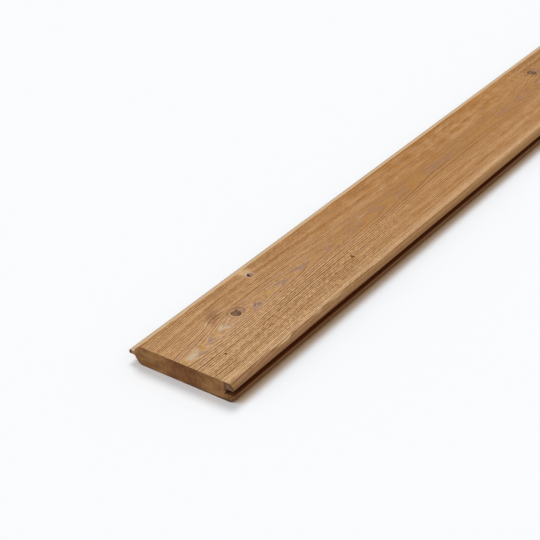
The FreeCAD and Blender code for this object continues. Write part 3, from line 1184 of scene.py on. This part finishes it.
def finish_planed(look):
    """The tongue, the groove, the back and what the brush didn't reach."""
    wood = Finish(bpy.data.materials.new("planed softwood"))
    across, along, up = wood.measure()
    part, hard = read_rings(wood)
    late = wood.band(part, 0.45, 0.93, 0.955, 1.0)
    slow = wood.spots(3, 14, 110, rough=0.55)
    fibre = wood.spots(4, 0.3, 12)
    marks = wood.spots(8, 30, 2.2, detail=1, rough=0.5)
    wood.colour = wood.blend(look.planed, look.early_deep, wood.ease(slow, 0.35, 0.65) * 0.5)

    # The tongue is pale, with a paler ledge and a browner tip.
    wood.lay(look.tongue, wood.fade(across, -53.4, -52.4))
    wood.lay(look.worn, wood.band(across, -57.2, -55.6, -53.4, -52.8) * 0.40)
    wood.lay(look.planed, wood.fade(across, -58.7, -57.4) * 0.30)

    # Painted shade: the inside of the groove is laid dark, darkest near its ends. So is the side of the
    # lower lip.
    inside = wood.ease(across, 49.0, 49.5) * wood.ease(up, 7.0, 7.7)
    wood.lay(look.groove, inside * 0.97)
    # More painted shade near the groove's ends, where the lamps reach in.
    wood.lay(look.bark_and_shade, inside * wood.fade(BOARD_HALF - abs(along), 1, 24) * 0.8)
    # Painted shade on the side of the lower lip, deeper toward the floor under the rounded back arris.
    lip = wood.ease(across, 56.0, 57.0)
    wood.lay(look.groove, lip * (0.5 + wood.fade(up, 0.5, 5.0) * 0.2))
    # Painted highlight: a paler line along the top of the lower lip's side.
    lip_highlight = wood.ease(across, 57.8, 58.3) * wood.band(up, 5.4, 6.1, 6.4, 7.0)
    wood.lay(look.early_deep, lip_highlight * 0.50)

    wood.lay(look.late, late * (0.20 + 0.35 * hard))
    wood.lay(look.late, wood.ease(fibre, 0.5, 0.75) * 0.25)
    height = late * 0.25 + fibre * 0.25 + marks * 0.18
    return wood.surface(0.68 - late * 0.06, height, 0.00012, 0.2)


def finish_end(look):
    """The sawn ends: rings cut across, pores and the saw's fine lines."""
    wood = Finish(bpy.data.materials.new("sawn end grain"))
    across, _, up = wood.measure()
    part, hard = read_rings(wood)
    late = wood.band(part, 0.35, 0.9, 0.94, 1.0)
    slow = wood.spots(9, 15, ANY_LENGTH, 9, detail=4, rough=0.65)
    blotch = wood.spots(20, 5, ANY_LENGTH, 3.5)
    pores = wood.spots(10, 0.5, ANY_LENGTH, rough=0.7)
    saw = wood.spots(11, 30, ANY_LENGTH, 0.5, detail=2, rough=0.5)
    middle = wood.band(across, -26, -8, 14, 34)
    wood.colour = wood.blend(look.end_light, look.end_deep, wood.ease(slow, 0.40, 0.64) * 0.60)
    wood.lay(look.end_deep, middle * 0.58)
    wood.lay(look.end_deep, wood.ease(blotch, 0.44, 0.64) * (0.20 + 0.35 * middle))
    wood.lay(look.warm, wood.fade(blotch, 0.34, 0.46) * 0.30)
    wood.lay(look.end_deep, late * (0.06 + 0.14 * hard))
    wood.lay(look.end_deep, wood.ease(pores, 0.50, 0.72) * 0.45)
    wood.lay(look.late, wood.ease(across, 47, 51) * wood.fade(slow, 0.45, 0.6) * 0.5)

    # The two lips beside the groove: the upper one darker, and both darker in ragged patches, on a
    # slant toward the nose and by the groove's bottom.
    dark_by_groove = wood.ease(across, 47, 50) * wood.band(up, 5, 8, 13, 17)
    wood.lay(look.bark_and_shade, dark_by_groove * wood.ease(pores, 0.35, 0.6) * 0.75)
    ragged_patches = wood.ease(wood.spots(24, 1.5, ANY_LENGTH, rough=0.7), 0.46, 0.57)
    upper = wood.ease(up, 11, 13)
    lips = wood.ease(across, 46.5, 48.5)
    wood.lay(look.knot_heart, lips * upper * 0.58)
    wood.lay(look.worn, wood.ease(across, 50, 51) * (1 - ragged_patches) * upper * 0.06)
    wood.lay(look.warm, lips * (1 - ragged_patches) * (1 - upper) * 0.25)
    wood.lay(look.bark_and_shade, lips * ragged_patches * (0.85 - 0.60 * upper))
    slant_dark = wood.ease(across * 0.72 + up * 0.69 + (ragged_patches - 0.5) * 0.6, 50.4, 51.5)
    wood.lay(look.bark_and_shade, slant_dark * lips * 0.85)
    wood.lay(look.bark_and_shade, wood.band(across, 46.6, 48.6, 49.4, 51) * upper * 0.45)

    # Painted shade along the foot on the floor, deepest toward the groove side, and the tongue with its
    # dark tip.
    foot = wood.fade(up, 0.4, 1.5 + 1.8 * wood.ease(across, 25, 55))
    wood.lay(look.bark_and_shade, foot * (0.38 + 0.5 * wood.ease(across, -20, 40)))
    wood.lay(look.tongue, wood.fade(across, -54, -52) * 0.3)
    wood.lay(look.bark_and_shade, wood.fade(across, -57.0, -56.0) * 0.85)
    return wood.surface(0.85, pores * 0.6 + saw * 0.5 - late * 0.2, 0.00020, 0.15)


BEVEL_PLAY = 0.2 * MM  # faces this near the foot of a bevel still belong to it
SHARP_FROM = math.radians(40)  # arrises that turn by more look sharp


def assign(board, materials, section):
    """Give the face and bevels the first material, the planed sides the second, the ends the third."""
    mesh = board.data
    for material in materials:
        mesh.materials.append(material)
    under_bevels = HIGH.z - section.bevel_height - BEVEL_PLAY
    shoulder = LOW.x + section.tongue_length - SAME
    for face in mesh.polygons:
        middle = face.center
        planed = middle.z < under_bevels or middle.x < shoulder
        in_end = abs(abs(middle.y) - HIGH.y) < SAME
        face.material_index = 2 if in_end else int(planed)


class OBJECT_OT_tongue_and_groove_board(bpy.types.Operator):
    """Model the board, brush its face and finish its wood"""

    bl_idname = "object.tongue_and_groove_board"
    bl_label = "Board"
    bl_options = {"REGISTER", "UNDO"}

    def execute(self, context):
        scene = context.scene
        section = scene.board_section
        relief = scene.brushed_relief
        look = scene.wood_colours

        board, shoulder, foot = model_section(section)
        cut_columns(relief.column, relief.plain_column, foot)
        travelled = mark_round(board, shoulder, foot)
        close_ends()
        cut_rows()
        bpy.ops.object.mode_set(mode="OBJECT")
        mesh = board.data
        slide_rows(mesh)

        at = tree_places(mesh)
        count, flat = grow_rings(*at)
        store(mesh, "ring", count)
        store(mesh, "flat", flat)
        store(mesh, "knot", nearest_knot(*at))
        store(mesh, "marked", marked_rings(*at[:2], count))
        store(mesh, "stain", stained(*at))
        store(mesh, "worn", worn_arrises(*at[:2]))
        lay_out_map(board, travelled, HIGH.x - LOW.x + 2 * section.bevel_height)
        brush_face(board, section, relief)
        bpy.ops.object.shade_smooth_by_angle(angle=SHARP_FROM)
        assign(board, (finish_face(look), finish_planed(look), finish_end(look)), section)

        board.name = "tongue_and_groove_board_wood"
        mesh.name = board.name
        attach(board, "root")
        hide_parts(BOARD_NODE)
        return {"FINISHED"}


# The stage


def wood_glow(pale):
    """Where the floor beside the board is painted with a warm glow and shade, standing in for the light
    and shadow the wood throws on it.
    """
    across, along, _ = pale.measure()
    side = pale.ease(across, 54, 57) * pale.fade(across, 50, 71)
    return side * pale.fade(abs(along), BOARD_HALF - 8, BOARD_HALF + 2)


class OBJECT_OT_board_stage(bpy.types.Operator):
    """Lay the floor and set the light and the camera"""

    bl_idname = "object.board_stage"
    bl_label = "Stage"
    bl_options = {"REGISTER", "UNDO"}

    def execute(self, context):
        scene = context.scene
        look = scene.stage_look

        deselect()
        bpy.ops.mesh.primitive_plane_add(size=look.floor_side, location=(0, 0, 0))
        floor = context.active_object
        floor.name = "floor"
        pale = Finish(bpy.data.materials.new("pale floor"))
        # Painted glow and shade on the floor beside the board.
        seen = pale.blend(look.floor, look.floor_warm, wood_glow(pale))
        camera_ray = pale.add("ShaderNodeLightPath").outputs["Is Camera Ray"]
        tint = pale.blend(look.floor_glow, seen, camera_ray)
        floor.data.materials.append(pale.close("ShaderNodeBsdfDiffuse", {"Color": tint}))

        even = Finish(bpy.data.worlds.new("even light"))
        rays = even.add("ShaderNodeLightPath").outputs
        seen = even.greater(rays["Is Camera Ray"], rays["Is Glossy Ray"])
        seen = even.greater(seen, rays["Is Transmission Ray"])
        light = {"Color": look.sky_tint, "Strength": look.sky + (1 - look.sky) * seen}
        scene.world = even.close("ShaderNodeBackground", light, "ShaderNodeOutputWorld")

        for name, strength, size, source in (
            ("soft lamp", look.lamp, look.lamp_size, look.lamp_from),
            ("fill lamp", look.fill, look.fill_size, look.fill_from),
        ):
            turn = Vector(source).to_track_quat("Z", "Y").to_euler()
            bpy.ops.object.light_add(type="SUN", rotation=turn)
            lamp = context.active_object
            lamp.name = name
            lamp.data.energy = strength
            lamp.data.angle = size

        bpy.ops.object.camera_add(
            location=look.eye, rotation=(math.pi / 2 - look.down, 0, look.turn)
        )
        camera = context.active_object
        camera.data.lens = look.lens
        camera.data.clip_end = 100
        scene.camera = camera
        scene.view_settings.view_transform = "Standard"
        return {"FINISHED"}


PANEL_ROWS = (
    ("object.tongue_and_groove_board", ("board_section", "brushed_relief", "wood_colours")),
    ("object.board_stage", ("stage_look",)),
)


class VIEW3D_PT_board(bpy.types.Panel):
    """Buttons and settings of the board"""

    bl_idname = "VIEW3D_PT_board"
    bl_label = "Tongue and groove board"
    bl_space_type = "VIEW_3D"
    bl_region_type = "UI"
    bl_category = "Board"

    def draw(self, context):
        layout = self.layout
        scene = context.scene
        for operator, groups in PANEL_ROWS:
            box = layout.box()
            box.operator(operator)
            for group in groups:
                settings = getattr(scene, group)
                for name in settings.__annotations__:
                    box.prop(settings, name)


GROUPS = {
    "board_section": BoardSection,
    "brushed_relief": BrushedRelief,
    "wood_colours": WoodColours,
    "stage_look": StageLook,
}

CLASSES = (
    *GROUPS.values(),
    OBJECT_OT_tongue_and_groove_board,
    OBJECT_OT_board_stage,
    VIEW3D_PT_board,
)


def register():
    for item in CLASSES:
        bpy.utils.register_class(item)
    for name, group in GROUPS.items():
        setattr(bpy.types.Scene, name, bpy.props.PointerProperty(type=group))


def unregister():
    for name in GROUPS:
        delattr(bpy.types.Scene, name)
    for item in reversed(CLASSES):
        bpy.utils.unregister_class(item)


def main():
    register()
    bpy.ops.object.board_stage()
    bpy.ops.object.tongue_and_groove_board()


if __name__ == "__main__":
    main()
